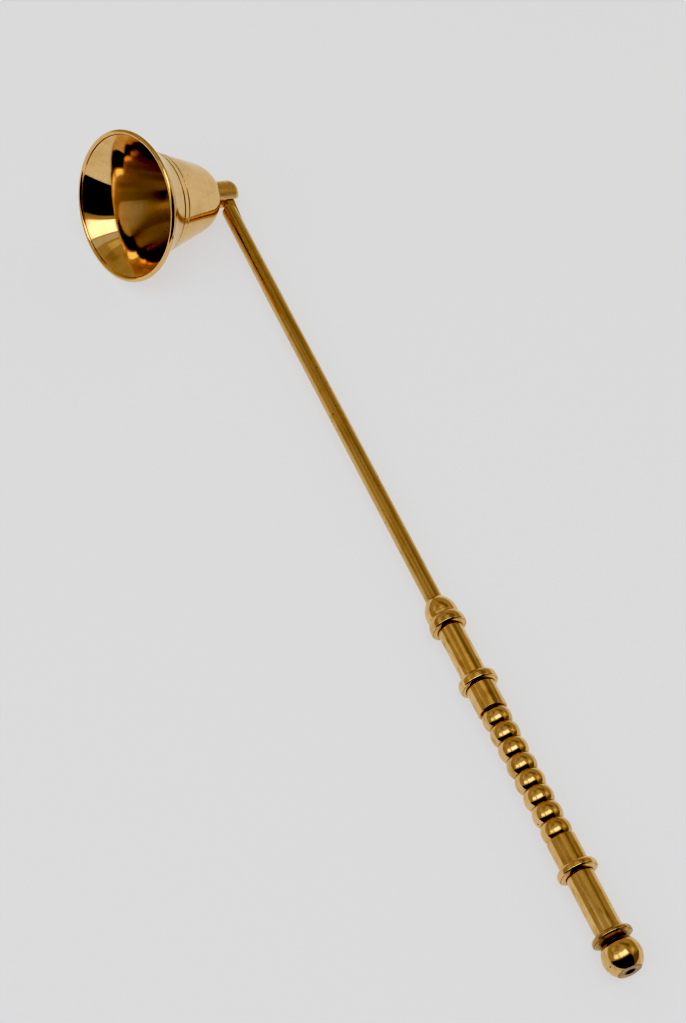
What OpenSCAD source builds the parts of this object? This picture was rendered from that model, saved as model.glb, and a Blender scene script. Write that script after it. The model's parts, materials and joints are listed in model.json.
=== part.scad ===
// Candle snuffer in polished brass: a flared bell hinged on a forked knob, a long round rod,
// and a turned handle of caps, barrels, collars, beads and a pommel stacked on the rod's thin tail.
// The snuffer lies on a flat surface, on its bell's lip and its handle's collars.
// +X runs along the handle from the bell to the pommel, +Z is up, millimetres.
// The origin is at the centre of the bottom of the whole object's box.

/* [Bell] */
// Radius of the mouth, to the outside of the lip
mouth_r = 21.8; // [20:0.1:24]
// Height of the bell, from the lip to the top of its dome
bell_h = 32.6; // [31:0.1:35]
// Height of the flare, from the lip to the straight side
flare_h = 10; // [8:0.5:12]
// Slope of the wall at the lip, in degrees from the bell's axis
flare_angle = 48; // [42:1:52]
// Slope of the straight side, in degrees from the bell's axis
side_angle = 17.5; // [15:0.5:20]
// Thickness of the wall
wall = 0.9; // [0.8:0.05:1]
// Thickness of the crown, under the fork's seat
crown_wall = 1.4; // [1:0.1:2]
// Radius of the rounded lip
lip_r = 0.7; // [0.68:0.01:0.9]
// Radius of the wire-thin lines scribed round the bell
scribe_r = 0.16; // [0.1:0.02:0.24]

/* [Pivot] */
// Distance from the handle's axis to the plane of the mouth, along the bell's axis
axis_h = 36.2; // [36:0.1:38]
// Distance from the handle's axis out to the pivot, along the bell's axis
pivot_out = 1.8; // [1.6:0.05:2]
// Angle between the bell's axis and the handle, as the snuffer lies
rest_angle = 75.4; // [75:0.1:90]
// Radius of the forked knob
knob_r = 4; // [3.8:0.05:4]
// Distance from the pivot to the end of the knob
knob_end = 3; // [2.8:0.05:3.6]
// Distance from the pivot to the floor of the slot
slot_depth = 3; // [3:0.05:3.4]
// Width of the slot
slot_w = 2.8; // [2.6:0.05:3]
// Radius of the rivet
rivet_r = 0.75; // [0.6:0.05:0.8]

/* [Rod] */
// Radius of the rod
rod_r = 2.25; // [2:0.05:2.3]
// Width of the tongue at the rod's end
tongue_w = 2.7; // [2.4:0.1:2.7]
// Thickness of the tongue
tongue_t = 2.4; // [2:0.05:2.5]
// Angle that the tongue is bent by from the rod, towards the bell
tongue_bend = 5; // [4:0.25:5]
// Distance from the bell's axis to the rod's shoulder
shoulder_x = 7; // [6.5:0.1:8]
// Radius of the tail that the handle's pieces are threaded on
tail_r = 1.5; // [1.2:0.1:1.6]

/* [Handle] */
// Distance from the bell's axis to the start of the handle
handle_x = 157.5; // [120:0.5:180]
// Radius of the collars, which the handle rests on
collar_r = 5.05; // [4.9:0.05:5.4]
// Length of the top cap
cap_len = 9.8; // [9.4:0.1:10.4]
// Radius of the collar at the top cap's foot
cap_collar_r = 4.8; // [4.6:0.05:4.9]
// Length of the upper barrel
upper_barrel_len = 15; // [10:0.1:20]
// Radius of the upper barrel
upper_barrel_r = 3.35; // [3:0.05:3.8]
// Length of the upper collar
upper_collar_len = 3.1; // [2.6:0.1:4]
// Length of the upper ferrule
upper_ferrule_len = 7.4; // [5:0.1:10]
// Radius of the upper ferrule
upper_ferrule_r = 3.85; // [3.6:0.05:4]
// Radius of each bead
bead_r = 3.75; // [3.6:0.05:4]
// Distance from one bead to the next
bead_pitch = 4.65; // [4.2:0.05:5]
// Length of the lower ferrule
lower_ferrule_len = 7.3; // [5:0.1:10]
// Radius of the lower ferrule
lower_ferrule_r = 3.65; // [3.5:0.05:4]
// Length of the lower collar
lower_collar_len = 2.5; // [2.2:0.1:3]
// Length of the lower barrel
lower_barrel_len = 15.5; // [10:0.1:20]
// Radius of the lower barrel
lower_barrel_r = 3.45; // [3.2:0.05:3.8]
// Length of the end collar
end_collar_len = 1.9; // [1.6:0.1:2.2]
// Radius of the pommel's ball
pommel_r = 4.85; // [4.6:0.05:4.9]
// Radius of the flats at the pommel's ends
flat_r = 2.9; // [2.6:0.1:3.2]

/* [Hidden] */
$fn = 64;

running_fit = 0.05;
past = 1;
edge = 0.2;

// Bell wall, as the middle of its thickness: a flare arc, a straight side and a dome.
lip_mid_r = mouth_r - lip_r;
flare_r = flare_h / (sin(flare_angle) - sin(side_angle));
flare_centre_r = lip_mid_r + flare_r * cos(flare_angle);
flare_centre_h = flare_r * sin(flare_angle);
side_start_r = flare_centre_r - flare_r * cos(side_angle);
dome_mid_r = (side_start_r / tan(side_angle) + flare_h + wall / 2 - bell_h)
    / (cos(side_angle) / tan(side_angle) + sin(side_angle) - 1);
dome_r = dome_mid_r + wall / 2;
dome_h = bell_h - dome_r;
seat_h = dome_h + sqrt(dome_r * dome_r - knob_r * knob_r);
scribe_heights = [9.4, 11.5];
lip_blend = 3;

// The pivot, as a height above the mouth's plane and as a place seen from the handle's frame.
pivot_h = axis_h + pivot_out;
eye_pos = pivot_out * [-cos(rest_angle), sin(rest_angle), 0];
shoulder_round = 0.8;

// The fork's tenon goes through the crown and is peened over inside the bell.
tenon_r = 1.8;
peen_r = 2.8;
peen_h = 0.9;
knob_round = 2.2;

// The acorn-shaped top cap: its dome's radius, that circle's centre and the collar's shoulder.
acorn_r = 6.2;
acorn_in = 2;
acorn_widest = 4.7;
cap_shoulder = 3.4;
cap_collar_len = 4.9;

// Handle stations, counted along X from where the bell's axis crosses the handle's.
socket_end_x = handle_x + 6.3;
upper_barrel_x = handle_x + cap_len;
upper_collar_x = upper_barrel_x + upper_barrel_len;
upper_ferrule_x = upper_collar_x + upper_collar_len;
bead_count = 8;
beads_x = upper_ferrule_x + upper_ferrule_len;
lower_ferrule_x = beads_x + bead_count * bead_pitch;
lower_collar_x = lower_ferrule_x + lower_ferrule_len;
lower_barrel_x = lower_collar_x + lower_collar_len;
end_collar_x = lower_barrel_x + lower_barrel_len;
pommel_x = end_collar_x + end_collar_len;
pommel_half = sqrt(pommel_r * pommel_r - flat_r * flat_r);
end_x = pommel_x + 2 * pommel_half;
end_hole_r = 1;
tail_end_x = end_x - 2;

// The lying pose: the lip and the collars touch the same surface.
lean = acos((collar_r - lip_r) / norm([lip_mid_r, axis_h])) - atan(axis_h / lip_mid_r);
roll = asin(sin(lean) / sin(rest_angle));
bell_dir = [cos(rest_angle), -sin(rest_angle) * cos(roll), sin(lean)];

// The whole object's box, which the origin is centred under. The knob's rounded end reaches
// furthest to one side.
low_x = axis_h * bell_dir.x - lip_mid_r * sin(rest_angle) - lip_r;
low_y = axis_h * bell_dir.y - lip_mid_r * sqrt(1 - bell_dir.y * bell_dir.y) - lip_r;
knob_high_y = -(pivot_out + knob_end - knob_round) * bell_dir.y
    + (knob_r - knob_round) * sqrt(1 - bell_dir.y * bell_dir.y) + knob_round;
high_y = max(collar_r, knob_high_y);
cross_pos = [-(low_x + end_x) / 2, -(low_y + high_y) / 2, collar_r];

// Puts the handle's axis, +X from where the bell's axis crosses it, at its place.
module handle_frame() {
    translate(cross_pos) rotate([-roll, 0, 0]) children();
}

// Puts the bell's axis, +Z from the handle's axis to the mouth, at its place.
module bell_frame() {
    handle_frame() rotate([0, 0, -rest_angle]) rotate([0, 90, 0]) children();
}

// Same as bell_frame, with the mouth's plane at 0 and the height of the bell along +Z.
module bell_up() {
    bell_frame() translate([0, 0, axis_h]) rotate([180, 0, 0]) children();
}

// A cylinder along the hinge's axis, seen from bell_up, with the pivot at height pivot_h.
module across_fork(r) {
    translate([-knob_r - past, 0, pivot_h]) rotate([0, 90, 0])
        cylinder(r = r, h = 2 * (knob_r + past));
}

// Turns an outline round the handle's axis, at x along it, with a bore through its length.
module turned(x, len, bore) {
    handle_frame() translate([x, 0, 0]) rotate([0, 90, 0]) difference() {
        rotate_extrude() children();
        translate([0, 0, -past]) cylinder(r = bore, h = len + 2 * past);
    }
}

// Outline of a disc of radius r and length len, with a rounding at each end.
module disc_outline(r, len, round_1, round_2) {
    intersection() {
        square([r, len]);
        union() {
            square([r - round_1, len / 2]);
            translate([0, len / 2]) square([r - round_2, len / 2]);
            translate([0, round_1]) square([r, len - round_1 - round_2]);
            translate([r - round_1, round_1]) circle(r = round_1);
            translate([r - round_2, len - round_2]) circle(r = round_2);
        }
    }
}

// Points on an arc, in equal steps.
function arc(centre, r, from, to, steps) = [
    for (i = [0 : steps])
        let (a = from + (to - from) * i / steps) centre + r * [cos(a), sin(a)]
];

// Points on the bell's wall, out by "out" from its middle, from the lip up to height "top".
function wall_points(out, top) = concat(
    arc([flare_centre_r, flare_centre_h], flare_r - out,
        180 + flare_angle - lip_blend, 180 + side_angle, 12),
    arc([0, dome_h], dome_mid_r + out, side_angle, asin((top - dome_h) / (dome_mid_r + out)), 16)
);

function reversed(list) = [for (i = [len(list) - 1 : -1 : 0]) list[i]];

// Radius of the bell's outside at a height below the dome.
function outside_r(h) =
    let (arc_r = flare_r - wall / 2, side_h = flare_centre_h - arc_r * sin(side_angle))
    h < side_h
        ? flare_centre_r - sqrt(arc_r * arc_r - pow(flare_centre_h - h, 2))
        : flare_centre_r - arc_r * cos(side_angle) - (h - side_h) * tan(side_angle);

// Half of the bell's section: up the inside, across the crown, down the outside, round the lip.
module bell_section() {
    inside_top = seat_h - crown_wall;
    lip_turn = asin(wall / 2 / lip_r);
    difference() {
        polygon(concat(
            wall_points(-wall / 2, inside_top),
            [[tenon_r, inside_top], [tenon_r, seat_h]],
            reversed(wall_points(wall / 2, seat_h)),
            arc([lip_mid_r, 0], lip_r, 90 + flare_angle - lip_turn, flare_angle + lip_turn - 270, 14)
        ));
        for (h = scribe_heights)
            translate([outside_r(h), h]) rotate(45) square(2 * scribe_r, center = true);
    }
}

module bell_shell() {
    color("#c79a4e") bell_up() rotate_extrude($fn = 180) bell_section();
}

// The knob's outside, standing on the seat, with its far edge rounded.
module knob_outside() {
    translate([0, 0, seat_h]) rotate_extrude()
        disc_outline(knob_r, pivot_h + knob_end - seat_h, edge, knob_round);
}

module pivot_fork() {
    color("#a5803c") bell_up() difference() {
        union() {
            knob_outside();
            translate([0, 0, seat_h - crown_wall]) cylinder(r = tenon_r, h = crown_wall + past);
            translate([0, 0, seat_h - crown_wall - peen_h]) rotate_extrude()
                disc_outline(peen_r, peen_h, 0.6, 0.1);
        }
        translate([-slot_w / 2, -knob_r - past, pivot_h - slot_depth])
            cube([slot_w, 2 * (knob_r + past), slot_depth + knob_end + past]);
        across_fork(rivet_r);
    }
}

module pivot_rivet() {
    color("#b08a44") bell_up() intersection() {
        across_fork(rivet_r);
        knob_outside();
    }
}

// The tongue starts at the pivot's eye and runs down into the rod's shoulder.
module tongue() {
    translate(eye_pos) rotate([0, 0, -tongue_bend]) translate([0, 0, -tongue_t / 2]) {
        translate([0, -tongue_w / 2, 0]) cube([2 * shoulder_x, tongue_w, tongue_t]);
        cylinder(r = tongue_w / 2, h = tongue_t);
    }
}

module stem_rod() {
    color("#8a6a14") handle_frame() difference() {
        union() {
            tongue();
            translate([shoulder_x, 0, 0]) rotate([0, 90, 0]) rotate_extrude()
                disc_outline(rod_r, socket_end_x - shoulder_x, shoulder_round, edge);
            translate([socket_end_x - past, 0, 0]) rotate([0, 90, 0])
                cylinder(r = tail_r, h = tail_end_x - socket_end_x + past);
        }
        translate(eye_pos - [0, 0, tongue_t]) cylinder(r = rivet_r + running_fit, h = 2 * tongue_t);
    }
}

// An acorn-shaped dome over the rod's end, with a collar at its foot.
module top_cap() {
    color("#b3822c") difference() {
        turned(handle_x, cap_len, tail_r + running_fit) {
            intersection() {
                translate([-acorn_in, acorn_widest]) circle(r = acorn_r, $fn = 96);
                square([collar_r, cap_len - cap_collar_len / 2]);
            }
            translate([0, cap_len - cap_collar_len])
                disc_outline(cap_collar_r, cap_collar_len, cap_shoulder, 0.5);
        }
        handle_frame() translate([handle_x - past, 0, 0]) rotate([0, 90, 0])
            cylinder(r = rod_r + running_fit, h = socket_end_x - handle_x + past);
    }
}

// A plain length of the handle.
module sleeve(x, len, r) {
    turned(x, len, tail_r + running_fit) disc_outline(r, len, edge, edge);
}

// A collar, rounded most on the side of the bell.
module collar(x, len, round_1, round_2) {
    turned(x, len, tail_r + running_fit) disc_outline(collar_r, len, round_1, round_2);
}

// One ball of the row of beads, cut flat where it meets the next.
module bead(i) {
    color("#c08f30") turned(beads_x + i * bead_pitch, bead_pitch, tail_r + running_fit)
        intersection() {
            translate([0, bead_pitch / 2]) circle(r = bead_r);
            square([bead_r + past, bead_pitch]);
        }
}

// The ball at the end, cut flat at both ends, with a small hole in the outer flat.
module pommel() {
    color("#c7963a") difference() {
        turned(pommel_x, 2 * pommel_half, end_hole_r) intersection() {
            translate([0, pommel_half]) circle(r = pommel_r, $fn = 96);
            square([pommel_r, 2 * pommel_half]);
        }
        handle_frame() translate([pommel_x - past, 0, 0]) rotate([0, 90, 0])
            cylinder(r = tail_r, h = tail_end_x - pommel_x + past);
    }
}

module upper_barrel() color("#a87c22") sleeve(upper_barrel_x, upper_barrel_len, upper_barrel_r);
module upper_collar() color("#c08f30") collar(upper_collar_x, upper_collar_len, 1.5, 0.6);
module upper_ferrule() color("#a87c22") sleeve(upper_ferrule_x, upper_ferrule_len, upper_ferrule_r);
module lower_ferrule() color("#a87c22") sleeve(lower_ferrule_x, lower_ferrule_len, lower_ferrule_r);
module lower_collar() color("#c08f30") collar(lower_collar_x, lower_collar_len, 1.2, 0.5);
module lower_barrel() color("#a87c22") sleeve(lower_barrel_x, lower_barrel_len, lower_barrel_r);
module end_collar() color("#c08f30") collar(end_collar_x, end_collar_len, 0.9, 0.4);

bell_shell();
pivot_fork();
pivot_rivet();
stem_rod();
top_cap();
upper_barrel();
upper_collar();
upper_ferrule();
for (i = [0 : bead_count - 1])
    bead(i);
lower_ferrule();
lower_collar();
lower_barrel();
end_collar();
pommel();
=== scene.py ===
"""A polished brass candle snuffer, lying on a pale surface.

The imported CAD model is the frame. Each turned piece of the bell and the handle is remade here as a
fine mesh with softened edges, in the same place, and every surface gets a worn, polished brass.
"""
import json
import math

import bmesh
import bpy
import numpy as np
from mathutils import Matrix, Vector


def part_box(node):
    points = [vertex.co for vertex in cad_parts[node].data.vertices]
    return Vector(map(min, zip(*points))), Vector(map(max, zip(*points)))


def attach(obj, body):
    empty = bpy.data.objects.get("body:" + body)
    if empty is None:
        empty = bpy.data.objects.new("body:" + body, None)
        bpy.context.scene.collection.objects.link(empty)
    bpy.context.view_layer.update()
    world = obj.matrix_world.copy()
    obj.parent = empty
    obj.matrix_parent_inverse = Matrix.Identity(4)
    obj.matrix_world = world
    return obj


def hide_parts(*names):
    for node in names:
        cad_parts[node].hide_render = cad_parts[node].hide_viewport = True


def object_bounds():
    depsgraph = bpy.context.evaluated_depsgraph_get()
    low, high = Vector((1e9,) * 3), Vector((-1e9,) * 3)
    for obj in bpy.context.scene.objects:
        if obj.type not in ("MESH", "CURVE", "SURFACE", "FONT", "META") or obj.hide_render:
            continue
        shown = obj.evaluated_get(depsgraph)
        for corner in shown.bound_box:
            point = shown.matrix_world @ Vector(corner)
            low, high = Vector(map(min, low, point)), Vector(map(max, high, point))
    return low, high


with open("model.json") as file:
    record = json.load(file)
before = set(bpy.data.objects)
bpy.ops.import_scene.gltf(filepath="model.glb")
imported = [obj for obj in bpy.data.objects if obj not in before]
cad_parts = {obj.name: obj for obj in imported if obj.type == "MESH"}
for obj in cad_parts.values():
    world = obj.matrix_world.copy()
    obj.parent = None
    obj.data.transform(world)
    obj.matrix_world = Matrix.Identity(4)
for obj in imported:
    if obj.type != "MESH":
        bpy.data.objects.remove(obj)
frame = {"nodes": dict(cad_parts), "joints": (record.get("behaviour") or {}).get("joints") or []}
cad_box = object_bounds()

MM = 0.001

# The two axes that pieces are turned about, and the point where they cross.
JOINT = frame["joints"][0]
PIVOT = Vector(JOINT["pos_m"])
HINGE = Vector(JOINT["axis"]).normalized()
ALONG = Vector((1, 0, 0))
REST_ANGLE = math.radians(75.4)
MOUTHWARD = ALONG * math.cos(REST_ANGLE) + HINGE.cross(ALONG) * math.sin(REST_ANGLE)
PIVOT_OUT = 1.8
CROSSING = PIVOT + MOUTHWARD * (PIVOT_OUT * MM)

# The bell, as its CAD solid has it, in millimetres and degrees.
CROSSING_HEIGHT = 36.2
MOUTH_RADIUS = 21.8
BELL_HEIGHT = 32.6
FLARE_HEIGHT = 10.0
FLARE_SLOPE = 48.0
SIDE_SLOPE = 17.5
WALL = 0.9
CROWN_WALL = 1.4
LIP_RADIUS = 0.7
KNOB_RADIUS = 4.0
TENON_RADIUS = 1.8
HAZE_HEIGHTS = (5.0, 15.0)
BELL_TURNS = 256

# The two lines scribed round the bell's outside, in millimetres. The outline has close points up to
# SCRIBED_MARGIN from them, and at their heights only the outside is further out than SCRIBED_RADIUS.
SCRIBED_HEIGHTS = (9.4, 11.5)
SCRIBED_RADIUS = 14.85
SCRIBED_HALF_WIDTH = 0.24
SCRIBED_DEPTH = 0.14
SCRIBED_STEP = 0.04
SCRIBED_MARGIN = 0.4

# The bell's dark deposit and painted shade, in millimetres: how far they spread from the scribed lines,
# from the knob's seat and from the peened tenon, and how far under the seat's height the last two still
# show.
LINE_GRIME_AND_SHADE = 0.8
PEEN_GRIME_AND_SHADE = 0.7
LINE_SPREAD = 0.16
SEAT_SPREAD = 0.25
SEAT_REACH = 0.6
PEEN_RADIUS = 2.8
PEEN_SPREAD = 0.8
PEEN_REACH = 3.0

# The rod, its tail, and the bore of the pieces threaded on it, in millimetres.
ROD_RADIUS = 2.25
TAIL_RADIUS = 1.5
TAIL_GAP = 2.0
BORE = 1.55

# How much edges are softened, and how finely long edges are split, in millimetres. A rounding takes at
# most EDGE_SHARE of an edge. The first and last split of an edge lie END_SHARE of a fine step from its
# ends.
SOFT_EDGE = 0.22
EDGE_SHARE = 0.49
EDGE_STEPS = 6
FINE_STEP = 0.6
END_SHARE = 0.12


# ---------------------------------------------------------------- outlines and turning


def arc(centre, radius, start, end, steps):
    """Points on an arc from start to end degrees, as (along, radius) pairs."""
    angles = np.radians(np.linspace(start, end, steps + 1))
    return [(centre[0] + radius * math.cos(a), centre[1] + radius * math.sin(a)) for a in angles]


def rounded(corners):
    """A closed outline through corners given as (along, radius, rounding)."""
    points = []
    for i, (x, r, rounding) in enumerate(corners):
        here = Vector((x, r))
        before = Vector(corners[i - 1][:2]) - here
        after = Vector(corners[(i + 1) % len(corners)][:2]) - here
        if rounding <= 0:
            points.append((x, r))
            continue
        half = before.angle(after) / 2
        reach = min(rounding / math.tan(half), before.length * EDGE_SHARE, after.length * EDGE_SHARE)
        size = reach * math.tan(half)
        start, end = before.normalized() * reach, after.normalized() * reach
        middle = (before.normalized() + after.normalized()).normalized() * (size / math.sin(half))
        for k in range(EDGE_STEPS + 1):
            spoke = (start - middle).lerp(end - middle, k / EDGE_STEPS).normalized() * size
            points.append(tuple(here + middle + spoke))
    return points


def refined(points):
    """The same outline with long edges split, and split finely at their ends so that normals hold."""
    made = []
    for i, point in enumerate(points):
        a, b = Vector(point), Vector(points[(i + 1) % len(points)])
        length = (b - a).length
        made.append(tuple(a))
        if length > FINE_STEP:
            margin = END_SHARE * FINE_STEP / length
            inner = max(1, round(length / FINE_STEP))
            for t in [margin, *np.linspace(0, 1, inner + 1)[1:-1], 1 - margin]:
                made.append(tuple(a.lerp(b, t)))
    return made


def turned(name, outline, origin, axis, grime_and_shade, turns=128, haze=()):
    """A solid turned about an axis. outline is (along, radius) in millimetres; U runs round the axis.

    Its fourth argument gives each outline point's share of dark deposit and painted shade in crevices.
    haze gives the first points, which are on the inside of a hollow, their share of dulling.
    """
    side = axis.orthogonal().normalized()
    across = axis.cross(side)
    angles = np.linspace(0, 2 * math.pi, turns, endpoint=False)
    spokes = [side * math.cos(a) + across * math.sin(a) for a in angles]
    mesh = bmesh.new()
    # Each point's share of dark deposit and painted crevice shade, and of haze.
    deposit_and_shade = mesh.verts.layers.float.new("grime_and_shade")
    dulling = mesh.verts.layers.float.new("haze")
    rings = []
    for i, (x, r) in enumerate(outline):
        centre = origin + axis * (x * MM)
        ring = [mesh.verts.new(centre + spoke * (r * MM)) for spoke in spokes]
        for v in ring:
            v[deposit_and_shade], v[dulling] = grime_and_shade(x, r), haze[i] if i < len(haze) else 0.0
        rings.append(ring)
    layout = mesh.loops.layers.uv.new("round")
    for i, (low, high) in enumerate(zip(rings, rings[1:] + rings[:1])):
        for j in range(turns):
            k = (j + 1) % turns
            face = mesh.faces.new((low[j], low[k], high[k], high[j]))
            for loop, (u, v) in zip(face.loops, ((j, i), (j + 1, i), (j + 1, i + 1), (j, i + 1))):
                loop[layout].uv = (u / turns, v / len(rings))
    bmesh.ops.recalc_face_normals(mesh, faces=mesh.faces)
    data = bpy.data.meshes.new(name)
    mesh.to_mesh(data)
    mesh.free()
    data.shade_smooth()
    piece = bpy.data.objects.new(name, data)
    bpy.context.scene.collection.objects.link(piece)
    return piece


def placed(piece, node, body, material):
    """Puts a remade piece in the place of its CAD node."""
    piece.data.materials.clear()
    piece.data.materials.append(material)
    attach(piece, body)
    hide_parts(node)


# ---------------------------------------------------------------- materials


class Nodes:
    """Short names for making and joining shader nodes."""

    def __init__(self, name, axis=ALONG):
        """The patterns' own X runs along the given axis."""
        self.material = bpy.data.materials.new(name)
        self.material.use_nodes = True
        self.tree = self.material.node_tree
        self.shader = self.tree.nodes["Principled BSDF"]
        turn = self.make("ShaderNodeMapping")
        self.join(self.make("ShaderNodeTexCoord").outputs["Object"], turn.inputs["Vector"])
        turn.inputs["Rotation"].default_value = axis.rotation_difference(ALONG).to_euler()
        self.place = turn.outputs["Vector"]

    def make(self, kind, **settings):
        node = self.tree.nodes.new(kind)
        for key, value in settings.items():
            setattr(node, key, value)
        return node

    def join(self, source, target):
        if isinstance(source, (int, float, tuple)):
            target.default_value = source
        else:
            self.tree.links.new(source, target)

    def scaled(self, scale):
        node = self.make("ShaderNodeMapping")
        self.join(self.place, node.inputs["Vector"])
        node.inputs["Scale"].default_value = scale
        return node.outputs["Vector"]

    def noise(self, scale, detail=2.0, stretch=(1, 1, 1), roughness=0.5):
        node = self.make("ShaderNodeTexNoise")
        self.join(self.scaled(stretch), node.inputs["Vector"])
        node.inputs["Scale"].default_value = scale
        node.inputs["Detail"].default_value = detail
        node.inputs["Roughness"].default_value = roughness
        return node.outputs["Fac"]

    def ramp(self, value, low, high, out_low=0.0, out_high=1.0):
        node = self.make("ShaderNodeMapRange")
        node.interpolation_type = "SMOOTHSTEP"
        self.join(value, node.inputs["Value"])
        limits = {"From Min": low, "From Max": high, "To Min": out_low, "To Max": out_high}
        for key, number in limits.items():
            node.inputs[key].default_value = number
        return node.outputs["Result"]

    def math(self, operation, a, b=0.0):
        node = self.make("ShaderNodeMath", operation=operation)
        self.join(a, node.inputs[0])
        self.join(b, node.inputs[1])
        return node.outputs[0]

    def blend(self, share, a, b):
        node = self.make("ShaderNodeMix", data_type="RGBA")
        self.join(share, node.inputs[0])
        self.join(a, node.inputs[6])
        self.join(b, node.inputs[7])
        return node.outputs[2]

    def pits(self, scale, size):
        """1 in small pits scattered in loose patches, 0 elsewhere."""
        node = self.make("ShaderNodeTexVoronoi")
        self.join(self.place, node.inputs["Vector"])
        node.inputs["Scale"].default_value = scale
        near = self.ramp(node.outputs["Distance"], size, size * 0.4)
        some = self.ramp(self.noise(scale * 0.21, 0.0), 0.56, 0.62)
        return self.math("MULTIPLY", near, some)

    def bump(self, height, distance, normal=None):
        node = self.make("ShaderNodeBump")
        self.join(height, node.inputs["Height"])
        node.inputs["Distance"].default_value = distance
        if normal is not None:
            self.join(normal, node.inputs["Normal"])
        return node.outputs["Normal"]


# The colours of the brass. WARM lies in clouds on the polish, HAZED deep inside the bell, TARNISH in
# stains and streaks, and the darkest colour in pits and, as dark deposit and painted shade, in crevices.
# AGED takes the polish's place on the rod.
POLISHED = (0.90, 0.685, 0.42, 1)
WARM = (0.84, 0.63, 0.36, 1)
HAZED = (0.71, 0.61, 0.43, 1)
AGED = (0.80, 0.61, 0.36, 1)
TARNISH = (0.52, 0.35, 0.09, 1)
GRIME_AND_SHADE = (0.09, 0.06, 0.03, 1)

# How fine each pattern is, in waves per metre.
CLOUDS = 85
WAVES = 140
STAINS = 230
PITS = 420
DEPOSIT_AND_SHADE_MOTTLE = 900

# How far the tool marks and the pits are cut into the surface, in metres.
TOOL_DEPTH = 0.000004
PIT_DEPTH = 0.00003


def brass(
    name, marks, streaks, smooth, dull, tint=POLISHED, stains=0.3, waves=0.03, grain=0.0, axis=ALONG
):
    """Worn, polished brass, with a roughness from smooth to dull.

    marks and streaks are how fine the tool marks and the tarnish are, along the axis and across it.
    stains is tarnish's greatest share of the colour, and waves is the height of the surface's slow
    unevenness, in millimetres. grain above 0 draws reflections out along the piece's length, across
    marks that run round it.
    """
    n = Nodes(name, axis)
    clouds = n.noise(CLOUDS, 4.0)
    tool = n.noise(1.0, 4.0, stretch=marks, roughness=0.65)
    spots = n.pits(PITS, 0.13)
    # Dark deposit and painted shade in crevices, from the mesh's layer, mottled by noise.
    attribute = n.make("ShaderNodeAttribute", attribute_name="grime_and_shade").outputs["Fac"]
    deposit_and_shade = n.math("MULTIPLY", attribute, n.ramp(n.noise(DEPOSIT_AND_SHADE_MOTTLE, 3.0), 0.25, 0.6, 0.55, 1.0))

    haze = n.make("ShaderNodeAttribute", attribute_name="haze").outputs["Fac"]
    colour = n.blend(haze, n.blend(n.ramp(clouds, 0.38, 0.72), tint, WARM), HAZED)
    stain = n.math("MULTIPLY", n.ramp(n.noise(STAINS, 5.0), 0.56, 0.76), stains)
    colour = n.blend(stain, colour, TARNISH)
    streak = n.noise(1.0, 3.0, stretch=streaks)
    colour = n.blend(n.ramp(streak, 0.48, 0.72, 0.0, stains), colour, TARNISH)
    colour = n.blend(n.ramp(tool, 0.4, 0.8, 0.0, 0.12), colour, TARNISH)
    colour = n.blend(n.math("MULTIPLY", spots, 0.7), colour, GRIME_AND_SHADE)
    # The crevices darken with deposit and painted shade.
    colour = n.blend(deposit_and_shade, colour, GRIME_AND_SHADE)
    n.join(colour, n.shader.inputs["Base Color"])
    n.shader.inputs["Metallic"].default_value = 1.0

    rough = n.ramp(n.math("ADD", clouds, n.math("MULTIPLY", tool, 0.5)), 0.55, 1.05, smooth, dull)
    rough = n.math("ADD", rough, n.math("MULTIPLY", deposit_and_shade, 0.35))
    rough = n.math("ADD", rough, n.math("MULTIPLY", spots, 0.3))
    n.join(rough, n.shader.inputs["Roughness"])
    if grain:
        n.shader.inputs["Anisotropic"].default_value = grain
        n.shader.inputs["Anisotropic Rotation"].default_value = 0.25
        tangent = n.make("ShaderNodeTangent", direction_type="UV_MAP", uv_map="round")
        n.join(tangent.outputs["Tangent"], n.shader.inputs["Tangent"])

    normal = n.bump(n.noise(WAVES, 1.0), waves * MM)
    normal = n.bump(tool, TOOL_DEPTH, normal)
    normal = n.bump(n.math("SUBTRACT", 1.0, spots), PIT_DEPTH, normal)
    n.join(normal, n.shader.inputs["Normal"])
    return n.material


# How fine tool marks and streaks of tarnish are along a piece and across it, in waves per metre.
ROUND_MARKS = (2400, 60, 60)
BELL_MARKS = (2600, 25, 25)
DRAWN_MARKS = (55, 2600, 2600)
KNOB_MARKS = (1200, 1200, 1200)
BELL_STREAKS = (70, 420, 420)
ROD_STREAKS = (90, 900, 900)
HANDLE_STREAKS = (260, 800, 800)

bell_brass = brass(
    "bell_polish", BELL_MARKS, BELL_STREAKS, 0.08, 0.17,
    stains=0.12, waves=0.008, grain=0.75, axis=MOUTHWARD,
)
fork_brass = brass("fork_polish", KNOB_MARKS, KNOB_MARKS, 0.28, 0.40)
rod_brass = brass("rod_polish", DRAWN_MARKS, ROD_STREAKS, 0.22, 0.34, tint=AGED)
handle_brass = brass("handle_polish", ROUND_MARKS, HANDLE_STREAKS, 0.09, 0.20, stains=0.42)


# ---------------------------------------------------------------- the bell


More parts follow.
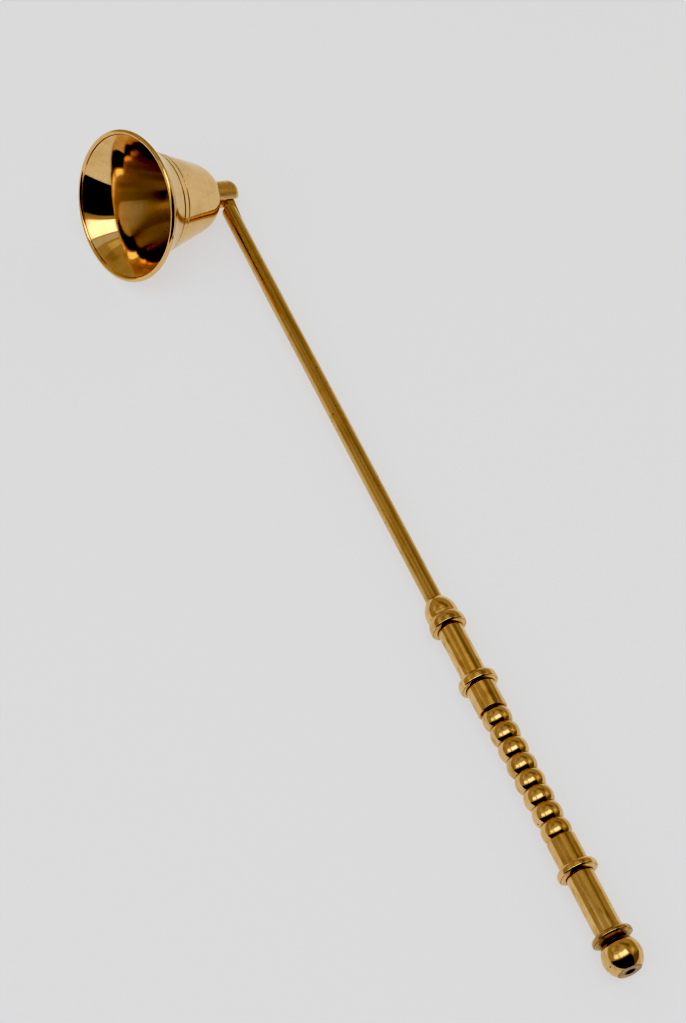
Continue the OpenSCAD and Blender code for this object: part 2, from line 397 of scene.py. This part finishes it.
def bell_outline():
    """The bell's section, up the inside and down the outside, and the height of the knob's seat.

    Its points are (height above the mouth's plane, radius). The lip's arc closes it.
    """
    flare_slope, side_slope = math.radians(FLARE_SLOPE), math.radians(SIDE_SLOPE)
    lip_middle = MOUTH_RADIUS - LIP_RADIUS
    flare = FLARE_HEIGHT / (math.sin(flare_slope) - math.sin(side_slope))
    flare_centre = (flare * math.sin(flare_slope), lip_middle + flare * math.cos(flare_slope))
    side_start = flare_centre[1] - flare * math.cos(side_slope)
    steep = 1 / math.tan(side_slope)
    dome = (side_start * steep + FLARE_HEIGHT + WALL / 2 - BELL_HEIGHT) / (
        math.cos(side_slope) * steep + math.sin(side_slope) - 1
    )
    dome_centre = BELL_HEIGHT - dome - WALL / 2
    seat = dome_centre + math.sqrt((dome + WALL / 2) ** 2 - KNOB_RADIUS**2)

    def wall(out, top):
        end = math.degrees(math.acos((top - dome_centre) / (dome + out)))
        return [
            *arc(flare_centre, flare - out, 270 - FLARE_SLOPE + 3, 270 - SIDE_SLOPE, 32),
            *arc((dome_centre, 0), dome + out, 90 - SIDE_SLOPE, end, 40),
        ]

    turn = math.degrees(math.asin(WALL / 2 / LIP_RADIUS))
    inside = wall(-WALL / 2, seat - CROWN_WALL)
    outside = wall(WALL / 2, seat)[::-1]
    lip = arc((0, lip_middle), LIP_RADIUS, turn - FLARE_SLOPE, 360 - turn - FLARE_SLOPE, 28)
    crown = [(seat - CROWN_WALL, TENON_RADIUS), (seat, TENON_RADIUS)]
    return [*inside, *crown, *outside, *lip], seat


def scribed(points):
    """Cuts the two thin lines into the bell's outside, with close points where they run."""
    made = []
    for i, here in enumerate(points):
        after = points[(i + 1) % len(points)]
        made.append(here)
        near = any(after[0] - SCRIBED_MARGIN < h < here[0] + SCRIBED_MARGIN for h in SCRIBED_HEIGHTS)
        if near and here[0] > after[0]:
            parts = max(1, round((Vector(after) - Vector(here)).length / SCRIBED_STEP))
            made += [tuple(Vector(here).lerp(Vector(after), k / parts)) for k in range(1, parts)]
    cut = []
    for i, (h, r) in enumerate(made):
        outside = made[i - 1][0] > h
        gap = min(abs(h - s) for s in SCRIBED_HEIGHTS)
        share = math.cos(math.pi / 2 * min(1.0, gap / SCRIBED_HALF_WIDTH))
        cut.append((h, r - SCRIBED_DEPTH * share * outside))
    return cut


def bell_grime_and_shade(seat):
    """Dark deposit and painted shade in the scribed lines, round the knob's seat and round the peened
    tenon.
    """

    def share(h, r):
        gap = min(abs(h - s) for s in SCRIBED_HEIGHTS)
        line = math.exp(-((gap / LINE_SPREAD) ** 2)) * (r > SCRIBED_RADIUS)
        seat_ring = math.exp(-max(0.0, r - KNOB_RADIUS) / SEAT_SPREAD) * (h > seat - SEAT_REACH)
        peen_ring = math.exp(-max(0.0, r - PEEN_RADIUS) / PEEN_SPREAD) * (h > seat - PEEN_REACH)
        return max(LINE_GRIME_AND_SHADE * line, LINE_GRIME_AND_SHADE * seat_ring, PEEN_GRIME_AND_SHADE * peen_ring)

    return share


def make_bell():
    """The bell, which grows duller on the way in from its mouth."""
    outline, seat = bell_outline()
    outline = scribed(refined(outline))
    mouth = CROSSING + MOUTHWARD * (CROSSING_HEIGHT * MM)
    inside = outline[:next(i for i, point in enumerate(outline) if point[1] < TENON_RADIUS + SOFT_EDGE)]
    haze = np.interp([h for h, r in inside], HAZE_HEIGHTS, (0.0, 1.0))
    piece = turned("bell_turned", outline, mouth, -MOUTHWARD, bell_grime_and_shade(seat), BELL_TURNS, haze)
    placed(piece, "bell_shell", "bell", bell_brass)


# ---------------------------------------------------------------- the handle


THREADED = (
    "top_cap", "upper_barrel", "upper_collar", "upper_ferrule", *(f"bead_{i}" for i in range(1, 9)),
    "lower_ferrule", "lower_collar", "lower_barrel", "end_collar", "pommel"
)

# Radii, lengths and slopes that the pieces' boxes don't give, in millimetres and degrees.
CAP_LENGTH = 9.8
CAP_COLLAR = 4.9
CAP_COLLAR_RADIUS = 4.8
CAP_SHOULDER = 3.4
CAP_FOOT = 0.5
CAP_SOCKET = 6.3
ACORN_RADIUS = 6.2
ACORN_INSET = 2.0
ACORN_WIDEST = 4.7
POMMEL_FLAT = 2.9
END_HOLE = 1.0
RIM_SLOPE = 28
SEAM_SLOPE = 4

# How far dark deposit and painted shade spread from crevices, in millimetres, and their shares in them.
# The pommel's outer flat, up to FLAT_EDGE from the end, is tarnished all over, and fully dark round its
# hole with deposit and painted shade.
CREVICE = 0.12
DEEP_CREVICE = 0.5
WIDE_CREVICE = 1.2
CREVICE_GRIME_AND_SHADE = 0.9
BEAD_GRIME_AND_SHADE = 0.35
FLAT_EDGE = 0.12
FLAT_GRIME = 0.45


def station(node):
    """Where a handle piece starts along the handle, its length and its radius, in millimetres."""
    low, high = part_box(node)
    return (low.x - CROSSING.x) / MM, (high.x - low.x) / MM, (high.y - low.y) / 2 / MM


def end_radius(node):
    """The radius of a piece's flat ends."""
    length, radius = station(node)[1:]
    if node.startswith("bead"):
        return math.sqrt(radius**2 - length**2 / 4)
    return POMMEL_FLAT if node == "pommel" else radius


def seam_radii(node):
    """The radii of the crevices at a piece's two ends, each the smaller of the two that meet there."""
    i = THREADED.index(node)
    before = end_radius(THREADED[i - 1]) if i else ROD_RADIUS
    after = end_radius(THREADED[i + 1]) if node != "pommel" else END_HOLE
    return min(end_radius(node), before), min(end_radius(node), after)


def make_handle_piece(node, outline, most=CREVICE_GRIME_AND_SHADE, reach=CREVICE):
    """Turns a piece from its outline, with dark deposit and painted shade in the crevices at its ends."""
    start, length = station(node)[:2]
    ends = list(zip((start, start + length), seam_radii(node)))

    def share(x, r):
        near = min(math.hypot(x - seam, r - radius) for seam, radius in ends)
        # The pommel's flat is tarnished, and fully dark round the hole as deposit and painted shade.
        if node == "pommel" and x > start + length - FLAT_EDGE:
            return 1.0 if r < END_HOLE + reach else FLAT_GRIME
        return most * math.exp(-near / reach)

    piece = turned(f"{node}_turned", refined(outline), CROSSING, ALONG, share)
    placed(piece, node, "handle", handle_brass)


def make_sleeve(node):
    """A plain sleeve with softened rims."""
    start, length, radius = station(node)
    end = start + length
    make_handle_piece(node, rounded([
        (start, BORE, 0), (start, radius, SOFT_EDGE), (end, radius, SOFT_EDGE), (end, BORE, 0)
    ]))


def bowed_foot(end, inner, radius, foot):
    """A collar's gently bowed end face, from its rounded rim down to the crevice at radius inner."""
    rim, seam = math.radians(RIM_SLOPE), math.radians(SEAM_SLOPE)
    bow = (radius - inner) / (math.sin(rim) - math.sin(seam))
    centre = (end - bow * math.cos(seam), inner - bow * math.sin(seam))
    meet = math.asin((radius - foot - centre[1]) / (bow - foot))
    corner = (centre[0] + (bow - foot) * math.cos(meet), radius - foot)
    meet = math.degrees(meet)
    return [*arc(corner, foot, 90, meet, 10), *arc(centre, bow, meet, SEAM_SLOPE, 12)]


def make_collar(node, shoulder, foot, reach=CREVICE):
    """A collar with a well rounded shoulder towards the bell and a bowed face at its foot."""
    start, length, radius = station(node)
    end = start + length
    top = arc((start + shoulder, radius - shoulder), shoulder, 180, 90, 12)
    face = bowed_foot(end, seam_radii(node)[1], radius, foot)
    make_handle_piece(node, [(start, BORE), *top, *face, (end, BORE)], reach=reach)


def make_bead(node):
    """A ball cut flat at both ends."""
    start, length, radius = station(node)
    middle = start + length / 2
    reach = math.degrees(math.acos(length / 2 / radius))
    ball = arc((middle, 0), radius, 180 - reach, reach, 40)
    make_handle_piece(node, [(start, BORE), *ball, (start + length, BORE)], BEAD_GRIME_AND_SHADE)


def circles_meet(centre, radius, other, other_radius):
    """The angles, in degrees, from each circle's centre to where the two circles cross above them."""
    gap = Vector(other) - Vector(centre)
    spread = math.acos((gap.length**2 + radius**2 - other_radius**2) / (2 * gap.length * radius))
    angle = math.atan2(gap.y, gap.x) + spread
    x, y = centre[0] + radius * math.cos(angle), centre[1] + radius * math.sin(angle)
    return math.degrees(angle), math.degrees(math.atan2(y - other[1], x - other[0]))


def make_cap():
    """The acorn-shaped cap: a bulging dome that runs out into a collar with a long shoulder."""
    start, length = station("top_cap")[:2]
    end = start + length
    dome = (end - CAP_LENGTH + ACORN_WIDEST, -ACORN_INSET)
    shoulder = (end - CAP_COLLAR + CAP_SHOULDER, CAP_COLLAR_RADIUS - CAP_SHOULDER)
    first = math.degrees(math.acos((start - dome[0]) / ACORN_RADIUS))
    leave, meet = circles_meet(dome, ACORN_RADIUS, shoulder, CAP_SHOULDER)
    socket = end - CAP_LENGTH + CAP_SOCKET
    fit = ROD_RADIUS + BORE - TAIL_RADIUS
    make_handle_piece("top_cap", [
        *arc(dome, ACORN_RADIUS, first, leave, 36),
        *arc(shoulder, CAP_SHOULDER, meet, 90, 16)[1:],
        *bowed_foot(end, seam_radii("top_cap")[1], CAP_COLLAR_RADIUS, CAP_FOOT),
        (end, BORE), (socket, BORE), (socket, fit), (start, fit),
    ])


def make_pommel():
    """A ball cut flat at both ends, with a small hole in the outer flat."""
    start, length, radius = station("pommel")
    end = start + length
    reach = math.degrees(math.acos(length / 2 / radius))
    ball = arc((start + length / 2, 0), radius, 180 - reach, reach, 64)
    hole = [(end - TAIL_GAP, END_HOLE), (end - TAIL_GAP, TAIL_RADIUS)]
    # The deep reach spreads dark deposit and painted shade far round the pommel's crevices and hole.
    make_handle_piece("pommel", [(start, TAIL_RADIUS), *ball, (end, END_HOLE), *hole], reach=DEEP_CREVICE)


def make_handle():
    for node in ("upper_barrel", "upper_ferrule", "lower_ferrule", "lower_barrel"):
        make_sleeve(node)
    make_collar("upper_collar", shoulder=1.5, foot=0.6)
    make_collar("lower_collar", shoulder=1.2, foot=0.5)
    # The end collar's wide reach paints a broad dark band of shade, with deposit, under its foot.
    make_collar("end_collar", shoulder=0.9, foot=0.4, reach=WIDE_CREVICE)
    for i in range(8):
        make_bead(f"bead_{i + 1}")
    make_cap()
    make_pommel()


make_bell()
make_handle()
for node, material in (("pivot_fork", fork_brass), ("pivot_rivet", fork_brass), ("stem_rod", rod_brass)):
    frame["nodes"][node].material_slots[0].material = material


# ---------------------------------------------------------------- camera, floor and light

# The camera looks down near the object's middle, from over the pommel's side. DISTANCE is in metres, and
# AIM_OFFSET and LENS are in millimetres.
AZIMUTH = math.radians(66.6)
ELEVATION = math.radians(53.68)
ROLL = math.radians(1.22)
DISTANCE = 0.493
AIM_OFFSET = (-3.5, 7.69, 0)
LENS = 65.84
SENSOR_WIDTH = 36

TOWARDS_CAMERA = Vector((
    math.sin(AZIMUTH) * math.cos(ELEVATION),
    -math.cos(AZIMUTH) * math.cos(ELEVATION),
    math.sin(ELEVATION),
))

FLOOR_SIZE = 40.0
FLOOR_GLOW = 0.474
FLOOR_SHADE = (0.25, 0.27, 0.37, 1)

# Panels stand round the object at this distance. Their places are angles from the camera's direction:
# across the handle, and up, which is away from the pommel's end.
PANEL_DISTANCE = 1.3
PANEL_STEPS = 24
ACROSS = TOWARDS_CAMERA.cross(ALONG).normalized()
UPWARD = TOWARDS_CAMERA.cross(ACROSS)

# The colours of the light, and the strengths of the warm room that metal reflects and of the grey
# backdrop that the camera sees.
DAY = (1.0, 0.99, 0.95, 1)
WARM_LIGHT = (1.0, 0.88, 0.53, 1)
BLACK = (0, 0, 0, 1)
ROOM_GLOW = 0.38
BACKDROP_GLOW = 0.59

# The picture's contrast: light below the first point is black, and above the last it is white. It is
# set on the curve that acts on all channels.
CONTRAST = ((0.055, 0.0), (0.15, 0.057), (0.30, 0.233), (0.45, 0.461), (0.60, 0.717), (0.753, 1.0))
ALL_CHANNELS = 3


def make_camera():
    """A camera that looks along the photographer's line of sight."""
    data = bpy.data.cameras.new("camera")
    data.lens = LENS
    data.sensor_width = SENSOR_WIDTH
    data.clip_start, data.clip_end = 0.01, 50
    camera = bpy.data.objects.new("camera", data)
    bpy.context.scene.collection.objects.link(camera)
    middle = (cad_box[0] + cad_box[1]) / 2
    aim = Vector((middle.x, middle.y, CROSSING.z)) + Vector(AIM_OFFSET) * MM
    turn = (-TOWARDS_CAMERA).to_track_quat("-Z", "Y").to_matrix() @ Matrix.Rotation(ROLL, 3, "Z")
    camera.matrix_world = Matrix.Translation(aim + TOWARDS_CAMERA * DISTANCE) @ turn.to_4x4()
    bpy.context.scene.camera = camera


def emission(name, colour, strength):
    """The nodes of a material that only glows."""
    n = Nodes(name)
    n.tree.nodes.remove(n.shader)
    glow = n.make("ShaderNodeEmission")
    glow.inputs["Color"].default_value = colour
    glow.inputs["Strength"].default_value = strength
    n.join(glow.outputs[0], n.tree.nodes["Material Output"].inputs["Surface"])
    return n


def make_floor():
    """A pale floor that glows a little, so that shadows on it stay faint."""
    data = bpy.data.meshes.new("floor")
    corners = [(x * FLOOR_SIZE, y * FLOOR_SIZE, 0) for x, y in ((-1, -1), (1, -1), (1, 1), (-1, 1))]
    data.from_pydata(corners, [], [(0, 1, 2, 3)])
    floor = bpy.data.objects.new("floor", data)
    bpy.context.scene.collection.objects.link(floor)
    n = emission("floor_paper", (1, 1, 1, 1), FLOOR_GLOW)
    matt = n.make("ShaderNodeBsdfDiffuse")
    matt.inputs["Color"].default_value = FLOOR_SHADE
    both = n.make("ShaderNodeAddShader")
    output = n.tree.nodes["Material Output"].inputs["Surface"]
    n.join(output.links[0].from_socket, both.inputs[0])
    n.join(matt.outputs[0], both.inputs[1])
    n.join(both.outputs[0], output)
    data.materials.append(n.material)


def direction(across, up):
    """The direction at two angles, in degrees, from the camera's direction."""
    across, up = math.radians(across), math.radians(up)
    level = TOWARDS_CAMERA * math.cos(across) + ACROSS * math.sin(across)
    return level * math.cos(up) + UPWARD * math.sin(up)


def panel(name, across, up, colour, strength, lights=True):
    """A glowing or black panel between two angles across and two angles up, unseen by the camera."""
    row = PANEL_STEPS + 1
    points = [
        direction(a, u) * PANEL_DISTANCE + PIVOT
        for u in np.linspace(*up, row) for a in np.linspace(*across, row)
    ]
    faces = [
        (i * row + j, i * row + j + 1, (i + 1) * row + j + 1, (i + 1) * row + j)
        for i in range(PANEL_STEPS) for j in range(PANEL_STEPS)
    ]
    data = bpy.data.meshes.new(name)
    data.from_pydata(points, [], faces)
    data.materials.append(emission(name, colour, strength).material)
    card = bpy.data.objects.new(name, data)
    bpy.context.scene.collection.objects.link(card)
    card.visible_camera = False
    card.visible_shadow = False
    card.visible_diffuse = lights


def make_light():
    """A row of windows, a dim ceiling and the dark of the room behind the camera."""
    panel("window_middle", (-12, 36), (3, 26), DAY, 1.15)
    panel("window_left", (-44, -17), (3, 24), DAY, 0.95)
    panel("window_right", (54, 78), (-8, 10), WARM_LIGHT, 0.62)
    panel("window_top", (-42, 38), (28, 38), DAY, 0.48)
    panel("ceiling_left", (-60, -37), (42, 66), WARM_LIGHT, 0.50)
    panel("ceiling_right", (8, 44), (42, 53), WARM_LIGHT, 0.52)
    panel("ceiling_shade", (-15, 8), (54, 72), WARM_LIGHT, 0.29)
    panel("beam_right", (55, 82), (24, 72), WARM_LIGHT, 0.24)
    panel("dark_low", (-88, 43), (-67, -4), BLACK, 0.0, lights=False)
    panel("dim_low", (43, 100), (-67, -16), WARM_LIGHT, 0.2)


def make_room():
    """A warm room for reflections, and a grey backdrop for the camera."""
    world = bpy.data.worlds.new("room")
    world.use_nodes = True
    nodes, links = world.node_tree.nodes, world.node_tree.links
    room, backdrop = nodes["Background"], nodes.new("ShaderNodeBackground")
    room.inputs["Color"].default_value = WARM_LIGHT
    room.inputs["Strength"].default_value = ROOM_GLOW
    backdrop.inputs["Strength"].default_value = BACKDROP_GLOW
    both = nodes.new("ShaderNodeMixShader")
    links.new(nodes.new("ShaderNodeLightPath").outputs["Is Camera Ray"], both.inputs[0])
    links.new(room.outputs[0], both.inputs[1])
    links.new(backdrop.outputs[0], both.inputs[2])
    links.new(both.outputs[0], nodes["World Output"].inputs["Surface"])
    bpy.context.scene.world = world


def make_contrast():
    """Sets the picture's contrast curve, with straight ends."""
    view = bpy.context.scene.view_settings
    view.view_transform = "Standard"
    view.use_curve_mapping = True
    curve = view.curve_mapping.curves[ALL_CHANNELS]
    for spot in (curve.points[0], curve.points[-1]):
        spot.handle_type = "VECTOR"
    curve.points[0].location, curve.points[-1].location = CONTRAST[0], CONTRAST[-1]
    for x, y in CONTRAST[1:-1]:
        curve.points.new(x, y)
    view.curve_mapping.extend = "HORIZONTAL"
    view.curve_mapping.update()


make_camera()
make_floor()
make_light()
make_room()
make_contrast()
